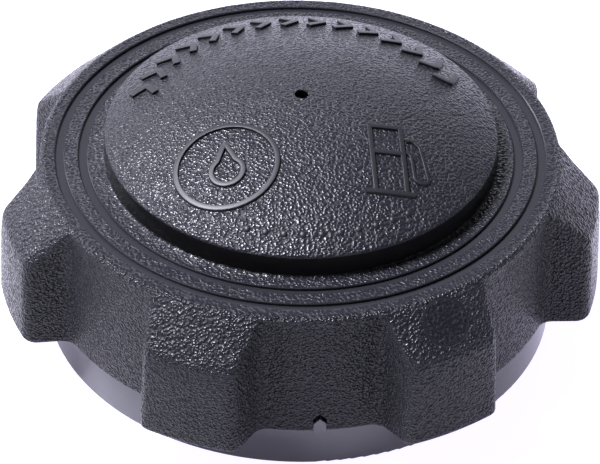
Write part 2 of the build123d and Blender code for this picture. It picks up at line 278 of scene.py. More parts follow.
# Neck gasket, its retainer and the O-ring of the valve housing: fuel-proof rubber,
# matt with a slight bloom, held by a plain moulded ring in natural plastic.
rubber, wire, shader = plastic("seal_rubber", (0.02, 0.02, 0.02), 0.65)
place = wire.place()
bloom = wire.noise(place, 180.0, 5.0)
tint = wire.mixed(bloom, (0.016, 0.016, 0.017), (0.034, 0.034, 0.033))
tint.into(shader.inputs["Base Color"])
pores = wire.noise(place, 2600.0, 2.0)
wire.bumped(pores, 0.00004, 0.7).into(shader.inputs["Normal"])
dress(rubber, "neck_gasket", "housing_oring", "pressure_seal")
natural = flow_marked("natural_plastic", (0.66, 0.63, 0.55), 0.42, 0.1)
dress(natural, "gasket_retainer", "ratchet_ring")

# Vent valve: housing, ball cage, pressure plate, poppet, cap and grid are small
# mouldings; the springs are drawn wire and the ball is a polished bearing ball.
valve_grey = flow_marked("valve_plastic", (0.5, 0.5, 0.48), 0.38, 0.1)
dress(valve_grey, "valve_housing", "ball_retainer", "pressure_plate")
dress(valve_grey, "vacuum_poppet", "spring_cap", "filter_grid")


def metal(name, colour, roughness, scale, depth):
    """Bare metal with fine drawing or handling marks in its gloss."""
    material, wire, shader = plastic(name, colour, roughness)
    shader.inputs["Metallic"].default_value = 1.0
    marks = wire.noise(wire.place(), scale, 6.0, Roughness=0.7)
    gloss = marks * depth + (roughness - depth / 2)
    gloss.into(shader.inputs["Roughness"])
    wire.bumped(marks, 0.00001, 0.5).into(shader.inputs["Normal"])
    return material


wire_steel = metal("spring_steel", (0.5, 0.5, 0.51), 0.3, 900.0, 0.2)
ball_steel = metal("ball_steel", (0.72, 0.72, 0.73), 0.1, 500.0, 0.08)
dress(wire_steel, "vacuum_clip")
dress(ball_steel, "rollover_ball")


def spring(node, body):
    """A steel copy of one of the part's springs, shaded smooth and carried by a body in place of
    the part's own.
    """
    wound = bmesh.new()
    wound.from_mesh(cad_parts[node].data)
    bmesh.ops.remove_doubles(wound, verts=wound.verts, dist=1e-7)
    mesh = bpy.data.meshes.new(node + "_steel")
    wound.to_mesh(mesh)
    wound.free()
    mesh.polygons.foreach_set("use_smooth", [True] * len(mesh.polygons))
    mesh.set_sharp_from_angle(angle=radians(40))
    mesh.materials.append(wire_steel)
    piece = bpy.data.objects.new(node + "_steel", mesh)
    bpy.context.scene.collection.objects.link(piece)
    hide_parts(node)
    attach(piece, body)
    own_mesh(piece)


# The wave spring stands on the closure's web, the pressure spring hangs from its cap
# and the light spring stands on the pressure plate.
spring("wave_spring", "closure")
spring("pressure_spring", "closure")
spring("vacuum_spring", "pressure_valve")

# Vent filter: a cut disc of open-cell foam under the grid. Its faces are uneven
# where the cells were cut through.
foam_low, foam_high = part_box("vent_filter")
foam_grey, wire, shader = plastic("filter_foam", (0.06, 0.06, 0.065), 0.95)
pores = {"Vector": wire.place(), "Scale": 2200.0}
pores = wire.make("ShaderNodeTexVoronoi", {"feature": "F1"}, pores).out("Distance")
# Painted shade: the pores' hollows are coloured darker than the cell walls round them.
painted_shade = wire.mixed(pores, (0.02, 0.02, 0.022), (0.12, 0.12, 0.125))
painted_shade.into(shader.inputs["Base Color"])
wire.bumped(pores, 0.0003, 1.0).into(shader.inputs["Normal"])


def cut_foam(wire, size):
    """A disc with enough rings for its faces and rim to be pushed in unevenly."""
    parts = {"Vertices": 64, "Side Segments": 6, "Fill Segments": 16}
    parts.update({"Radius": size["Radius"], "Depth": size["Thickness"]})
    foam = wire.make("GeometryNodeMeshCylinder", None, parts)
    noise = wire.noise(wire.make("GeometryNodeInputPosition"), 1.6, 3.0)
    push = {0: wire.make("GeometryNodeInputNormal"), "Scale": (noise - 1) * size["Unevenness"]}
    push = wire.make("ShaderNodeVectorMath", {"operation": "SCALE"}, push)
    foam = wire.make("GeometryNodeSetPosition", None, {"Geometry": foam, "Offset": push})
    lift = wire.joined(Z=size["Height"])
    foam = wire.make("GeometryNodeTransform", None, {"Geometry": foam, "Translation": lift})
    return finished(wire, foam, size["Foam"])


foam_sizes = {
    "Radius": foam_high.x / mm,
    "Thickness": (foam_high.z - foam_low.z) / mm,
    "Height": (foam_high.z + foam_low.z) / 2 / mm,
    "Unevenness": 0.3,
    "Foam": foam_grey,
}
foam = grown("cut_foam", foam_sizes, cut_foam)
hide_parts("vent_filter")
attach(foam, "closure")

# Grip shell: the black moulding that the hand turns, with a domed crown inside two
# ring grooves, seven lobes cored out from below and a small notch in its lip. It is
# one injection moulding, grained on the outside and smooth in the grooves.
grip_box_low, grip_box_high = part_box("grip_shell")
grip_low = grip_box_low.z / mm
apex_z = grip_box_high.z / mm
lobe_r = 44.75
lobes = 7
valley_r = 38.5
lip_r = 37.9
rim_z = 27.45
rim_r = 37.9
face_drop = 0.541
edge_r = 1.7
low_edge_r = 1.1
ridge_r = 2.6
foot_r = 2.4
low_round = 0.45
rim_round = 1.5


def bend(centre, radius, first_deg, last_deg, steps):
    """Points of an arc in (radius, height), from one direction to another."""
    turn = [radians(first_deg + (last_deg - first_deg) * i / steps) for i in range(steps + 1)]
    return [(centre[0] + radius * cos(a), centre[1] + radius * sin(a)) for a in turn]


def level(points, follow=0.0, inset=0.0, grain=0.0):
    """Rows of the shell: radius, height, how far each follows the lobes, inset, grain above."""
    return [(r, z, follow, inset, grain) for r, z in points]


# The lobe's own profile, from its lower edge up the face, over the ridge and down the
# facet's slope to the rim, then the land, grooves, crown and vent hole, and back inside.
face_top_r = lobe_r - face_drop
ridge_top_z = rim_z - (face_top_r - rim_r)
face_lean = degrees(atan2(face_drop, rim_z - grip_low))
ridge_turn = 45 - face_lean
ridge_reach = ridge_r * tan(radians(ridge_turn / 2))
ridge_centre = (
    face_top_r - ridge_r * cos(radians(face_lean)) + ridge_reach * sin(radians(face_lean)),
    ridge_top_z - ridge_reach * cos(radians(face_lean)) - ridge_r * sin(radians(face_lean)),
)
low_centre = (lobe_r - low_edge_r, grip_low + low_edge_r)
face_rows = []
for r, z in bend(low_centre, low_edge_r, -90, 0, 6)[:-1]:
    share = min(1.0, (z - grip_low) / low_round)
    inset = low_round * (1 - sqrt(max(0.0, 1 - (1 - share) ** 2)))
    face_rows += level([(r, z)], 1.0, inset, 1.0)
wall_steps = 6
wall_top_z = ridge_centre[1] + ridge_r * sin(radians(face_lean))
for i in range(wall_steps):
    z = grip_low + low_edge_r + (wall_top_z - grip_low - low_edge_r) * i / wall_steps
    face_rows += level([(lobe_r - tan(radians(face_lean)) * (z - grip_low), z)], 1.0, 0.0, 1.0)
face_rows += level(bend(ridge_centre, ridge_r, face_lean, 45, 6), 1.0, 0.0, 1.0)
rim_reach = rim_round * tan(radians(22.5))
rim_centre = (rim_r - rim_reach, rim_z - rim_round)
facet_top = bend(rim_centre, rim_round, 45, 90, 5)
facet_start = face_rows[-1]
facet_steps = 9
for i in range(1, facet_steps):
    share = 1 - (1 - i / facet_steps) ** 1.5
    r = facet_start[0] + (facet_top[0][0] - facet_start[0]) * share
    z = facet_start[1] + (facet_top[0][1] - facet_start[1]) * share
    face_rows += level([(r, z)], 1.0, 0.0, 1.0)
for i, point in enumerate(facet_top):
    face_rows += level([point], 1 - (i + 1) / len(facet_top), 0.0, 1.0)

groove_width = 1.25
groove_z = rim_z - 0.5
groove_radii = (36.0, 32.6)
lip_bevel = 0.12
top_rows = []
for outer in groove_radii:
    inner = outer - groove_width
    top_rows += level([(outer + lip_bevel, rim_z), (outer, rim_z - lip_bevel)])
    top_rows += level([(outer, groove_z), (inner, groove_z), (inner, rim_z - lip_bevel)])
    top_rows += level([(inner - lip_bevel, rim_z)], grain=1.0)

crown_r = 28.8
crown_rise = 7.0
crown_foot = 0.3
crown_edge = 0.5
crown_wall = 2.2
vent_r = 0.95
ball_r = (crown_r**2 + crown_rise**2) / (2 * crown_rise)
ball_z = apex_z - ball_r
foot_points = bend((crown_r + crown_foot, rim_z + crown_foot), crown_foot, 270, 180, 3)
edge_r_in = crown_r - crown_edge
edge_centre = (edge_r_in, ball_z + sqrt((ball_r - crown_edge) ** 2 - edge_r_in**2))
edge_turn = degrees(atan2(edge_centre[1] - ball_z, edge_centre[0]))
edge_points = bend(edge_centre, crown_edge, 0, edge_turn, 5)
vent_turn = degrees(acos((vent_r + lip_bevel) / ball_r))
dome_steps = 22
dome_points = bend((0, ball_z), ball_r, edge_turn, vent_turn, dome_steps)[1:]
inner_ball_r = ball_r - crown_wall
inner_r = crown_r - crown_wall
hollow_turns = [degrees(acos(r / inner_ball_r)) for r in (vent_r, inner_r)]
hollow_points = bend((0, ball_z), inner_ball_r, *hollow_turns, 8)
crown_rows = level(foot_points[:-1], grain=1.0) + level(foot_points[-1:])
crown_rows += level(edge_points[:1]) + level(edge_points[1:], grain=1.0)
crown_rows += level(dome_points[:-1], grain=1.0) + level(dome_points[-1:])
crown_rows += level([(vent_r, dome_points[-1][1] - lip_bevel)]) + level(hollow_points)

plate_z = 24.65
bore_r = 35.2
shoulder_z = 10.4
snap_r = 36.45
snap_z = (13.85, 12.35)
bore_rows = level([(inner_r, plate_z), (bore_r, plate_z), (bore_r, snap_z[0]), (snap_r, snap_z[0])])
bore_rows += level([(snap_r, snap_z[1]), (bore_r, snap_z[1])])
bore_rows += level([(bore_r, shoulder_z), (lip_r, shoulder_z), (lip_r, grip_low)])
rows = face_rows + top_rows + crown_rows + bore_rows
rows.append(rows[0])
profile_mesh = bpy.data.meshes.new("shell_profile")
profile_mesh.from_pydata([(r, 0, z) for r, z, *rest in rows], [], [])
for place, name in enumerate(("follow", "inset", "grain")):
    values = profile_mesh.attributes.new(name, "FLOAT", "POINT")
    values.data.foreach_set("value", [row[2 + place] for row in rows])
profile = bpy.data.objects.new("shell_profile", profile_mesh)
bpy.context.scene.collection.objects.link(profile)


def solid(name, loops):
    """A closed mesh through equal rings of points, with both ends capped."""
    count = len(loops[0])
    points = [point for loop in loops for point in loop]
    faces = []
    for i in range(len(loops) - 1):
        for j in range(count):
            k = (j + 1) % count
            faces.append((i * count + j, i * count + k, (i + 1) * count + k, (i + 1) * count + j))
    last = (len(loops) - 1) * count
    faces += [tuple(reversed(range(count))), tuple(range(last, last + count))]
    mesh = bpy.data.meshes.new(name)
    mesh.from_pydata(points, [], faces)
    maker = bpy.data.objects.new(name, mesh)
    bpy.context.scene.collection.objects.link(maker)
    return maker


notch_half = 0.975
notch_side = 2.2
notch_tip = 3.3
notch_y = (-36.9, -40.5)  # from inside the lip to outside the valley
cut_below = 1.0  # how far the cutters start below the lip


def house(half, low, side, tip):
    """The outline of the notch and of its tongue: a square foot with a pointed roof."""
    return [(-half, low), (half, low), (half, side), (0, tip), (-half, side)]


notch_line = house(notch_half, -cut_below, notch_side, notch_tip)
notch = solid("notch_cutter", [[(x, y, grip_low + z) for x, z in notch_line] for y in notch_y])

pocket_wall = 2.2
pocket_half = 4.2  # half width at the lobe's face
pocket_foot_half = 5.3  # half width at the foot
pocket_foot_r = 34.65
pocket_drop = pocket_wall * sqrt(2)
pocket_r = lobe_r - pocket_wall
pocket_in = lip_r - 0.01
pocket_line = [
    (pocket_in, grip_low - cut_below),
    (pocket_r, grip_low - cut_below),
    (pocket_r - face_drop, ridge_top_z - pocket_drop + face_drop),
    (pocket_in, rim_z - pocket_drop),
]
pocket_loops = []
for i in range(9):
    loop = []
    for r, z in pocket_line:
        share = (r - pocket_foot_r) / (lobe_r - pocket_foot_r)
        half_width = pocket_foot_half + (pocket_half - pocket_foot_half) * share
        x = half_width * (i / 4 - 1)
        loop.append((x, sqrt(r * r - x * x), z))
    pocket_loops.append(loop)
pocket = solid("pocket_cutter", pocket_loops)

# The moulded grain: rounded pebbles about half a millimetre across, side by side, whose
# tops are polished and whose gaps are matt. Lengths in the material are in metres.
grain_black, wire, shader = plastic("grained_black", (0.009, 0.009, 0.012), 0.26)
shader.inputs["Specular IOR Level"].default_value = 0.27
place = wire.place()
bend_by = 0.0004  # how far the pebbles' outlines are pushed out of round
shift = wire.vector("SUBTRACT", wire.noise(place, 1500.0, 1.0).out("Color"), (0.5, 0.5, 0.5))
shift = wire.make("ShaderNodeVectorMath", {"operation": "SCALE"}, {0: shift, "Scale": bend_by})
bent_place = wire.vector("ADD", place, shift)


def pebbles(wire, place, scale):
    """Rounded cells set side by side, like the pebble grain etched into the mould."""
    cells = {"Vector": place, "Scale": scale, "Smoothness": 0.2}
    cells = wire.make("ShaderNodeTexVoronoi", {"feature": "SMOOTH_F1"}, cells).out("Distance")
    return 1 - cells * cells


# The grain is finer on the steep walls than on the facets and the top. It is shallower
# on the land outside the crown and round the gate.
x, y, z = wire.parted(place)
r = wire.math("SQRT", x * x + y * y)
on_facet = wire.mapped(r + z, (0.0641, 0.0649))
on_top = wire.mapped(z, (0.0268, 0.0272))
flat = wire.math("MAXIMUM", on_facet, on_top)
land_depth = wire.mapped(r, (0.0315, 0.0365), (0.72, 0.4))
facet_depth = wire.mapped(r, (0.037, 0.0378), (0.0, 1.2))
wall_depth = 1.15
gate_spot = (0.0176, -0.0366, 0.0247)  # inside the gate ring, made further on
gate_far = wire.vector("DISTANCE", place, gate_spot).out("Value")
calm = wire.mapped(gate_far, (0.0024, 0.0036), (0.4, 1.0))
pebble = pebbles(wire, bent_place, 2150.0) * flat + pebbles(wire, bent_place, 2600.0) * (1 - flat)
depth = wire.math("MAXIMUM", land_depth, facet_depth) * calm * flat + (1 - flat) * wall_depth
swell = wire.noise(place, 900.0, 1.0) * 0.2
fine = wire.noise(place, 4200.0, 2.0) * 0.1
wire.bumped(pebble * depth + swell + fine, 0.00028, 1.0).into(shader.inputs["Normal"])
wire.mapped(pebble, (0.58, 0.8), (0.55, 0.2)).into(shader.inputs["Roughness"])

# The grooves are smooth. The crown's own wall above its foot is polished, and its
# colour there is painted almost black: painted shade, for the dark band the wall shows.
groove_colour = (0.012, 0.012, 0.015)
painted_shade_wall_colour = (0.0002, 0.0002, 0.0003)
wall_foot_z = 0.0276
smooth_black = flow_marked("smooth_black", groove_colour, 0.26)
wire = Wire(smooth_black.node_tree)
x, y, z = wire.parted(wire.place())
# Painted shade: above the wall's foot the colour turns near black.
painted_shade = wire.mixed(wire.math("GREATER_THAN", z, wall_foot_z), groove_colour, painted_shade_wall_colour)
painted_shade.into(smooth_black.node_tree.nodes["Principled BSDF"].inputs["Base Color"])


def around(wire, shape, count):
    """Copies of a shape turned evenly about the axis."""
    spots = wire.make("GeometryNodeMeshLine", None, {"Count": count, "Offset": (0.0, 0.0, 0.0)})
    turn = wire.joined(Z=wire.make("GeometryNodeInputIndex") * (2 * pi / count))
    turn = wire.make("FunctionNodeEulerToRotation", None, {"Euler": turn})
    copies = {"Points": spots, "Instance": shape, "Rotation": turn}
    copies = wire.make("GeometryNodeInstanceOnPoints", None, copies)
    return wire.make("GeometryNodeRealizeInstances", None, {"Geometry": copies})


def lobed_shell(wire, size):
    """Rows of the profile carried round the axis, with the lobes' plan where they follow it."""
    half = 36  # columns from a lobe's middle to the valley's
    columns = 2 * half * lobes
    full_reach = 2.2  # where a row stands this far out, its corners have their full radius
    line = wire.make("GeometryNodeObjectInfo", None, {"Object": size["Profile"]}).out("Geometry")
    row_count = wire.make("GeometryNodeAttributeDomainSize", None, {"Geometry": line})
    row_count = row_count.out("Point Count")
    grid = {"Vertices X": columns + 1, "Vertices Y": row_count}
    grid = wire.make("GeometryNodeMeshGrid", None, grid)
    index = wire.make("GeometryNodeInputIndex")
    column = wire.math("FLOOR", (index + 0.5) / row_count)
    row = index - column * row_count

    def sampled(value, kind, at):
        settings = {"data_type": kind, "domain": "POINT"}
        inputs = {"Geometry": line, "Value": value, "Index": at}
        return wire.make("GeometryNodeSampleIndex", settings, inputs)

    def attribute(name):
        return wire.make("GeometryNodeInputNamedAttribute", {"data_type": "FLOAT"}, {"Name": name})

    profile_place = sampled(wire.make("GeometryNodeInputPosition"), "FLOAT_VECTOR", row)
    face, unused, z = wire.parted(profile_place)
    follow = sampled(attribute("follow"), "FLOAT", row)
    inset = sampled(attribute("inset"), "FLOAT", row)

    sector = wire.math("FLOOR", (column + 0.5) / (2 * half))
    inside = column - sector * (2 * half) - half
    step = wire.math("ABSOLUTE", inside)
    side = wire.math("SIGN", inside)

    rise = (z - (grip_low - 1)) / (rim_z - grip_low + 2)
    valley = size["Valley radius"] - size["Valley draft"] * rise
    shrink = size["Side draft"] * rise
    foot_half = size["Lobe foot half width"] - shrink * 0.4
    face_half = size["Lobe face half width"] - shrink
    reach = size["Lobe reach"]
    slope = wire.math("ARCTANGENT", (foot_half - face_half) / reach)
    nx = wire.math("COSINE", slope)
    ny = wire.math("SINE", slope)
    low_r = wire.math("SMOOTH_MIN", valley - inset, face, 0.4)
    share = wire.make("ShaderNodeClamp", None, {0: (face - low_r) / full_reach, 1: 0.02, 2: 1.0})
    foot = size["Foot radius"] * share
    edge = size["Edge radius"] * share

    def centre(off, radius):
        """Where a circle, off beside the lobe's flank, has its middle at a radius."""
        x = foot_half + nx * off
        y = valley + ny * off
        along = y * nx - x * ny
        short = x * x + y * y - radius * radius
        reach_on = wire.math("SQRT", along * along - short) - along
        return x - ny * reach_on, y + nx * reach_on

    fx, fy = centre(foot - inset, low_r + foot)
    ex, ey = centre(-edge - inset, face - edge)
    foot_turn = wire.math("ARCTAN2", fx, fy)
    edge_turn = wire.math("ARCTAN2", ex, ey)
    side_turn = pi / 2 - slope

    def arc(x, y, radius, turn):
        spot_x = x + radius * wire.math("SINE", turn)
        spot_y = y + radius * wire.math("COSINE", turn)
        return wire.joined(X=spot_x, Y=spot_y)

    # The columns are shared out between the face, its edge, the flank, the foot's
    # round and the valley.
    stops = (0.0, 9.0, 14.0, 19.0, 25.0, float(half))
    shares = [wire.mapped(step, span) for span in zip(stops, stops[1:])]
    zero = step * 0
    line_x = (ex + nx * edge) * (1 - shares[2]) + (fx - nx * foot) * shares[2]
    line_y = (ey + ny * edge) * (1 - shares[2]) + (fy - ny * foot) * shares[2]
    pieces = [
        arc(zero, zero, face, edge_turn * shares[0]),
        arc(ex, ey, edge, edge_turn + (side_turn - edge_turn) * shares[1]),
        wire.joined(X=line_x, Y=line_y),
        arc(fx, fy, -foot, side_turn + (foot_turn - side_turn) * shares[3]),
        arc(zero, zero, low_r, foot_turn + (pi / lobes - foot_turn) * shares[4]),
    ]
    passed = [wire.math("GREATER_THAN", step, stop) for stop in stops[1:-1]]
    choice = {"Index": sum(passed[1:], passed[0])}
    choice.update({i + 1: piece for i, piece in enumerate(pieces)})
    settings = {"data_type": "VECTOR", "choices": len(pieces)}
    px, py, unused = wire.parted(wire.make("GeometryNodeIndexSwitch", settings, choice))
    px = px * side
    turn = sector * (2 * pi / lobes)
    turn_sin = wire.math("SINE", turn)
    turn_cos = wire.math("COSINE", turn)
    even = column * (2 * pi / columns) - pi / lobes
    round_x = face * wire.math("SINE", even) * (1 - follow)
    round_y = face * wire.math("COSINE", even) * (1 - follow)
    x = (px * turn_cos + py * turn_sin) * follow + round_x
    y = (py * turn_cos - px * turn_sin) * follow + round_y
    place = wire.joined(X=x, Y=y, Z=z)
    grid = {"Geometry": grid, "Name": "row", "Value": row}
    grid = wire.make("GeometryNodeStoreNamedAttribute", {"data_type": "FLOAT"}, grid)
    shell = wire.make("GeometryNodeSetPosition", None, {"Geometry": grid, "Position": place})
    grain = sampled(attribute("grain"), "FLOAT", wire.math("FLOOR", attribute("row")))
    shell = {"Geometry": shell, "Material": size["Smooth"]}
    shell = wire.make("GeometryNodeSetMaterial", None, shell)
    grained = {"Geometry": shell, "Selection": grain, "Material": size["Grained"]}
    shell = wire.make("GeometryNodeSetMaterial", None, grained)
    shell = wire.make("GeometryNodeMergeByDistance", None, {"Geometry": shell, "Distance": 0.0005})
    pocket = wire.make("GeometryNodeObjectInfo", None, {"Object": size["Pocket"]}).out("Geometry")
    notch = wire.make("GeometryNodeObjectInfo", None, {"Object": size["Notch"]}).out("Geometry")
    cut = {"Mesh 1": shell, "Mesh 2": [around(wire, pocket, lobes), notch]}
    settings = {"operation": "DIFFERENCE", "solver": "EXACT"}
    shell = wire.make("GeometryNodeMeshBoolean", settings, cut)
    return wire.make("GeometryNodeRealizeInstances", None, {"Geometry": shell})


shell_sizes = {
    "Profile": profile,
    "Pocket": pocket,
    "Notch": notch,
    "Valley radius": valley_r,
    "Valley draft": 0.25,
    "Side draft": 0.9016,
    "Lobe foot half width": 8.4,
    "Lobe face half width": 7.3,
    "Lobe reach": lobe_r - valley_r,
    "Foot radius": foot_r,
    "Edge radius": edge_r,
    "Grained": grain_black,
    "Smooth": smooth_black,
}
shell = grown("grip_moulding", shell_sizes, lobed_shell)
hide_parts("grip_shell")
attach(shell, "grip")
for maker in (profile, notch, pocket):
    bpy.data.objects.remove(maker)

# Ratchet teeth of the grip: one-way face teeth under its plate, part of the same
# moulding, that mesh with the natural plastic ratchet ring.
teeth = 24
tooth_h = 1.6
tooth_root = 0.4  # how far a tooth goes up into the plate
tooth_radii = (26.8, 32.12)
tooth_half = tan(pi / teeth)
tooth_line = [(-1, tooth_h + tooth_root), (1, tooth_h + tooth_root), (1, 0), (-1, tooth_h)]
tooth_loops = []
for r in tooth_radii:
    tooth_loops.append([(x * tooth_half * r, r, plate_z - tooth_h + z) for x, z in tooth_line])
tooth = solid("tooth", tooth_loops)


def tooth_ring(wire, size):
    """One tooth repeated about the axis, turned back by the play in the ratchet."""
    shape = wire.make("GeometryNodeObjectInfo", None, {"Object": size["Tooth"]}).out("Geometry")
    ring = around(wire, shape, teeth)
    turn = wire.joined(Z=size["Backlash"])
    ring = wire.make("GeometryNodeTransform", None, {"Geometry": ring, "Rotation": turn})
    return finished(wire, ring, size["Smooth"])


teeth_sizes = {"Tooth": tooth, "Backlash": radians(-0.4), "Smooth": smooth_black}
grip_teeth = grown("grip_teeth", teeth_sizes, tooth_ring, 25.0)
bpy.data.objects.remove(tooth)
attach(grip_teeth, "grip")

# Notch tongue: a small house-shaped tongue in the lip's notch, a little lower than the
# notch, so that a dark gap shows over its roof. It is part of the grip moulding.
tongue_low = 6.4
tongue_side = 8.1
tongue_tip = 9.05
tongue_bevel = 0.08
tongue_line = house(notch_half + 0.03, tongue_low, tongue_side, tongue_tip)
tongue_front = []
for x, z in tongue_line:
    tongue_front.append((x * 0.92, z + (tongue_bevel if z == tongue_low else -tongue_bevel)))
tongue_loops = []
for y, line in ((-37.95, tongue_line), (-38.35, tongue_line), (-38.43, tongue_front)):
    tongue_loops.append([(x, y, z) for x, z in line])
tongue = solid("notch_tongue", tongue_loops)
tongue.data.transform(Matrix.Scale(mm, 4))
tongue.data.materials.append(skirt_black)
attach(tongue, "grip")

# Raised marks on the crown: a ring emblem and a fuel pump picture, a row of chevrons
# that point the way the cap tightens, and date pips. The mould forms them along Z,
# so their tops follow the dome. They are smooth and about 0.4 mm high.
mark_height = 0.38
mark_sink = 0.3  # how far a mark goes down into the dome
mark_round = 0.1


def drawing(name, strokes):
    """Flat strokes, each a list of (x, y) points, as a curve object."""
    data = bpy.data.curves.new(name, "CURVE")
    data.dimensions = "3D"
    for stroke in strokes:
        spline = data.splines.new("POLY")
        spline.points.add(len(stroke) - 1)
        for point, (x, y) in zip(spline.points, stroke):
            point.co = (x, y, 0, 1)
    maker = bpy.data.objects.new(name, data)
    bpy.context.scene.collection.objects.link(maker)
    return maker


def rounded(wire, curve, count, radius, **more):
    """A curve with its corners rounded by short straight steps."""
    inputs = {"Curve": curve, "Count": count, "Radius": radius, **more}
    return wire.make("GeometryNodeFilletCurve", {"mode": "POLY"}, inputs)


def stroked(wire, curve, width, height, sink):
    """Strokes of a drawing as bars with softened top edges."""
    curve = wire.make("GeometryNodeSubdivideCurve", None, {"Curve": curve, "Cuts": 6})
    curve = wire.make("GeometryNodeSetCurveNormal", {"mode": "Z_UP"}, {"Curve": curve})
    bar = {"Width": width, "Height": height + sink}
    bar = wire.make("GeometryNodeCurvePrimitiveQuadrilateral", None, bar)
    bar = rounded(wire, bar, 3, mark_round)
    mesh = {"Curve": curve, "Profile Curve": bar, "Fill Caps": True}
    mesh = wire.make("GeometryNodeCurveToMesh", None, mesh)
    lift = wire.joined(Z=(height - sink) / 2)
    return wire.make("GeometryNodeTransform", None, {"Geometry": mesh, "Translation": lift})


def on_dome(wire, mesh, material):
    """Lifts a flat mark onto the crown's sphere, along Z."""
    x, y, z = wire.parted(wire.make("GeometryNodeInputPosition"))
    rise = wire.math("SQRT", ball_r * ball_r - x * x - y * y) + ball_z
    lift = wire.joined(Z=rise)
    mesh = wire.make("GeometryNodeSetPosition", None, {"Geometry": mesh, "Offset": lift})
    return finished(wire, mesh, material)


def ring_emblem(wire, size):
    """A plain ring with a drop inside it."""
    ring = {"Resolution": 72, "Radius": size["Radius"]}
    ring = wire.make("GeometryNodeCurvePrimitiveCircle", None, ring)
    centre = wire.joined(X=size["X"], Y=size["Y"])
    ring = wire.make("GeometryNodeTransform", None, {"Geometry": ring, "Translation": centre})
    parts = [stroked(wire, ring, size["Stroke"], size["Height"], size["Sink"])]
    drop = wire.make("GeometryNodeObjectInfo", None, {"Object": size["Drop"]}).out("Geometry")
    drop = rounded(wire, drop, 4, 1.2)
    parts.append(stroked(wire, drop, size["Stroke"], size["Height"], size["Sink"]))
    joined = wire.make("GeometryNodeJoinGeometry", None, {"Geometry": parts})
    return on_dome(wire, joined, size["Smooth"])


mark_black = flow_marked("mark_black", (0.006, 0.006, 0.008), 0.46)
mark_black.node_tree.nodes["Principled BSDF"].inputs["Specular IOR Level"].default_value = 0.35
emblem_x = -11.8
drop_tip = (emblem_x, -8.9)
drop_belly = bend((emblem_x, -14.1), 2.3, -235, 55, 24)
drop = drawing("drop_drawing", [[drop_tip, *drop_belly, drop_tip]])
emblem_sizes = {
    "X": emblem_x,
    "Y": -12.9,
    "Radius": 7.3,
    "Stroke": 0.78,
    "Height": mark_height,
    "Sink": mark_sink,
    "Drop": drop,
    "Smooth": mark_black,
}
emblem = grown("ring_emblem", emblem_sizes, ring_emblem)

left, right, top, middle, base = 9.2, 13.7, -6.95, -11.9, -18.9
post_top = top + 0.42
bars = drawing("pump_drawing", [
    [(left, base), (left, post_top)],
    [(right, base), (right, post_top)],
    [(left, top), (right, top)],
    [(left, middle), (right, middle)],
    [(7.8, base), (14.85, base)],
])
hose_foot = [(14.1, -11.65), (14.85, -11.65), (15.05, -16.7), (17.15, -16.7)]
hose_nozzle = [(16.3, -10.2), (15.2, -9.0), (14.3, -9.35)]
hose = drawing("hose_drawing", [hose_foot + hose_nozzle])


def pump_picture(wire, size):
    """The common picture of a fuel pump: its body in bars, its hose in a thinner line."""
    body = wire.make("GeometryNodeObjectInfo", None, {"Object": size["Bars"]}).out("Geometry")
    line = wire.make("GeometryNodeObjectInfo", None, {"Object": size["Hose"]}).out("Geometry")
    line = rounded(wire, line, 6, 0.9, **{"Limit Radius": True})
    parts = [
        stroked(wire, body, size["Stroke"], size["Height"], size["Sink"]),
        stroked(wire, line, size["Hose stroke"], size["Height"], size["Sink"]),
    ]
    joined = wire.make("GeometryNodeJoinGeometry", None, {"Geometry": parts})
    return on_dome(wire, joined, size["Smooth"])


pump_sizes = {
    "Bars": bars,
    "Hose": hose,
    "Stroke": 0.72,
    "Hose stroke": 0.5,
    "Height": mark_height,
    "Sink": mark_sink,
    "Smooth": mark_black,
}
pump = grown("pump_picture", pump_sizes, pump_picture)

chevron = drawing("chevron_drawing", [[(-1.0, -1.9), (1.0, 0.0), (-1.0, 1.9)]])


def arc_spots(wire, size, side):
    """Points evenly along an arc about the axis, at the back (side 1) or front (side -1)."""
    spots = {"Count": size["Count"], "Offset": (0.0, 0.0, 0.0)}
    spots = wire.make("GeometryNodeMeshLine", None, spots)
    step = wire.make("GeometryNodeInputIndex") / (size["Count"] - 1)
    turn = size["First"] + (size["Last"] - size["First"]) * step
    y = size["Radius"] * wire.math("COSINE", turn) * side
    place = wire.joined(X=size["Radius"] * wire.math("SINE", turn), Y=y)
    spots = {"Geometry": spots, "Position": place}
    return wire.make("GeometryNodeSetPosition", None, spots), turn


def chevron_row(wire, size):
    """Chevrons evenly spaced along an arc about the back of the crown."""
    shape = wire.make("GeometryNodeObjectInfo", None, {"Object": size["Chevron"]}).out("Geometry")
    shape = stroked(wire, shape, size["Stroke"], size["Height"], size["Sink"])
    spots, turn = arc_spots(wire, size, 1.0)
    facing = wire.make("FunctionNodeEulerToRotation", None, {"Euler": wire.joined(Z=-turn)})
    row = {"Points": spots, "Instance": shape, "Rotation": facing}
    row = wire.make("GeometryNodeInstanceOnPoints", None, row)
    row = wire.make("GeometryNodeRealizeInstances", None, {"Geometry": row})
    return on_dome(wire, row, size["Smooth"])


chevron_sizes = {
    "Chevron": chevron,
    "Count": 15,
    "Radius": 23.8,
    "First": radians(-70),
    "Last": radians(70),
    "Stroke": 1.05,
    "Height": 0.45,
    "Sink": mark_sink,
    "Smooth": mark_black,
}
chevrons = grown("tighten_chevrons", chevron_sizes, chevron_row)


def pip_row(wire, size):
    """Small round pips along an arc about the front of the crown."""
    pip = wire.make("GeometryNodeMeshUVSphere", None, {"Segments": 16, "Rings": 8, "Radius": 1.0})
    shape = wire.joined(X=size["Pip radius"], Y=size["Pip radius"], Z=size["Height"])
    pip = wire.make("GeometryNodeTransform", None, {"Geometry": pip, "Scale": shape})
    spots, turn = arc_spots(wire, size, -1.0)
    row = wire.make("GeometryNodeInstanceOnPoints", None, {"Points": spots, "Instance": pip})
    row = wire.make("GeometryNodeRealizeInstances", None, {"Geometry": row})
    return on_dome(wire, row, size["Smooth"])


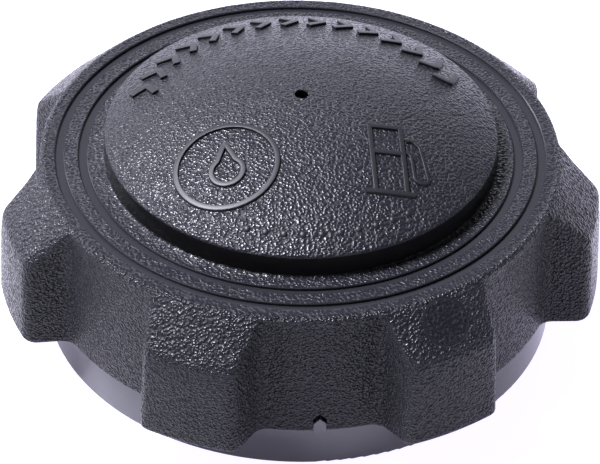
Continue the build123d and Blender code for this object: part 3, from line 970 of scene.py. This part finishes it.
pip_sizes = {
    "Count": 10,
    "Radius": 25.65,
    "First": radians(-22),
    "Last": radians(32),
    "Pip radius": 0.5,
    "Height": 0.28,
    "Smooth": mark_black,
}
pips = grown("date_pips", pip_sizes, pip_row)

# Gate ring: the faint witness ring that the mould leaves round its gate. It lies on the
# front right lobe's facet, is smooth and stands out by about 0.2 mm.
def gate_witness(wire, size):
    """A thin ring laid on the cone of the facets."""
    ring, section = (
        wire.make("GeometryNodeCurvePrimitiveCircle", None, {"Resolution": count, "Radius": radius})
        for count, radius in ((64, size["Radius"]), (8, size["Thickness"]))
    )
    ring = wire.make("GeometryNodeCurveToMesh", None, {"Curve": ring, "Profile Curve": section})
    lean = (1.0, cos(pi / 4), 1.0)
    ring = wire.make("GeometryNodeTransform", None, {"Geometry": ring, "Scale": lean})
    out = wire.joined(Y=-size["Distance"])
    ring = wire.make("GeometryNodeTransform", None, {"Geometry": ring, "Translation": out})
    turn = wire.joined(Z=size["Direction"])
    ring = wire.make("GeometryNodeTransform", None, {"Geometry": ring, "Rotation": turn})
    x, y, z = wire.parted(wire.make("GeometryNodeInputPosition"))
    fall = wire.math("SQRT", x * x + y * y) - rim_r
    lift = wire.joined(Z=rim_z - fall)
    ring = wire.make("GeometryNodeSetPosition", None, {"Geometry": ring, "Offset": lift})
    return finished(wire, ring, size["Smooth"])


gate_sizes = {
    "Radius": 3.4,
    "Thickness": 0.2,
    "Distance": 40.6,
    "Direction": radians(25.7),
    "Smooth": mark_black,
}
gate = grown("gate_witness", gate_sizes, gate_witness)
for drawn in (drop, bars, hose, chevron):
    bpy.data.objects.remove(drawn)
for mark in (emblem, pump, chevrons, pips, gate):
    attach(mark, "grip")

# Studio: a plain white sweep and six soft lamps, as in a catalogue photograph. The key
# hangs at the left above the cap and most of the rest stands behind it. The floor keeps
# a trace of shadow and reads as white.
floor_mesh = bpy.data.meshes.new("floor")
floor_half = 3.0
floor_z = -0.00005
floor_signs = ((-1, -1), (1, -1), (1, 1), (-1, 1))
floor_corners = [(x * floor_half, y * floor_half, floor_z) for x, y in floor_signs]
floor_mesh.from_pydata(floor_corners, [], [(0, 1, 2, 3)])
floor = bpy.data.objects.new("floor", floor_mesh)
bpy.context.scene.collection.objects.link(floor)
floor_white, wire, shader = plastic("floor_white", (0.35, 0.35, 0.36), 0.6)
floor.data.materials.append(floor_white)
# Painted light: the sweep's glow, seen only in reflections, is weaker in front of the cap and
# stronger at the back and at the right.
rays = wire.make("ShaderNodeLightPath")
x, y, z = wire.parted(wire.place())
painted_glow_fade = wire.mapped(y, (-0.06, 0.01), (0.62, 0.95))
side = wire.mapped(x, (-0.05, 0.05), (0.72, 1.3))
strength = rays.out("Is Camera Ray") + rays.out("Is Glossy Ray") * painted_glow_fade * side
glow = {"Color": (1, 0.94, 1.25, 1), "Strength": strength}
glow = wire.make("ShaderNodeEmission", None, glow)
total = wire.make("ShaderNodeAddShader", None, {0: Wire(wire.tree, shader.outputs[0]), 1: glow})
total.into(wire.tree.nodes["Material Output"].inputs[0])

world = bpy.data.worlds.new("studio")
bpy.context.scene.world = world
world.use_nodes = True
world.node_tree.nodes["Background"].inputs["Color"].default_value = (0.92, 0.94, 1.1, 1)
world.node_tree.nodes["Background"].inputs["Strength"].default_value = 0.11


def lamp(name, spot, size, power):
    """A rectangular soft lamp at a spot, turned to face the cap's middle."""
    data = bpy.data.lights.new(name, "AREA")
    data.shape = "RECTANGLE"
    data.size = size[0]
    data.size_y = size[1]
    data.energy = power
    data.color = (0.95, 0.95, 1.08)
    thing = bpy.data.objects.new(name, data)
    bpy.context.scene.collection.objects.link(thing)
    facing = (Vector((0, 0, 0.02)) - Vector(spot)).to_track_quat("-Z", "Y")
    thing.matrix_world = Matrix.Translation(spot) @ facing.to_matrix().to_4x4()


lamp("key", (-0.37, 0.08, 0.82), (0.27, 0.27), 29.0)
lamp("backdrop", (0.0, 1.6, 1.05), (4.0, 2.0), 10.0)
lamp("horizon", (-0.3, 1.6, 0.35), (3.0, 0.5), 10.0)
lamp("back", (-0.9, 0.8, 0.55), (0.3, 0.3), 4.0)
lamp("left", (-1.1, -0.1, 0.6), (0.9, 0.8), 1.5)
lamp("right", (1.2, -0.2, 0.3), (0.9, 0.4), 0.6)
bpy.context.scene.view_settings.view_transform = "Standard"

# Camera: a long lens in front of and above the cap, turned a little to its left,
# which is how the photograph, 600 by 464, was taken.
camera_data = bpy.data.cameras.new("camera")
camera_data.lens = 249.08
camera_data.sensor_width = 36.0
camera = bpy.data.objects.new("camera", camera_data)
bpy.context.scene.collection.objects.link(camera)
camera_spot = Vector((0.15, -480.06, 402.56)) * mm
camera_turn = radians(-5.3)
camera_drop = radians(39.116)
camera_roll = radians(1.1637)
camera.matrix_world = (
    Matrix.Rotation(camera_turn, 4, "Z")
    @ Matrix.Translation(camera_spot)
    @ Matrix.Rotation(pi / 2 - camera_drop, 4, "X")
    @ Matrix.Rotation(camera_roll, 4, "Z")
)
bpy.context.scene.camera = camera
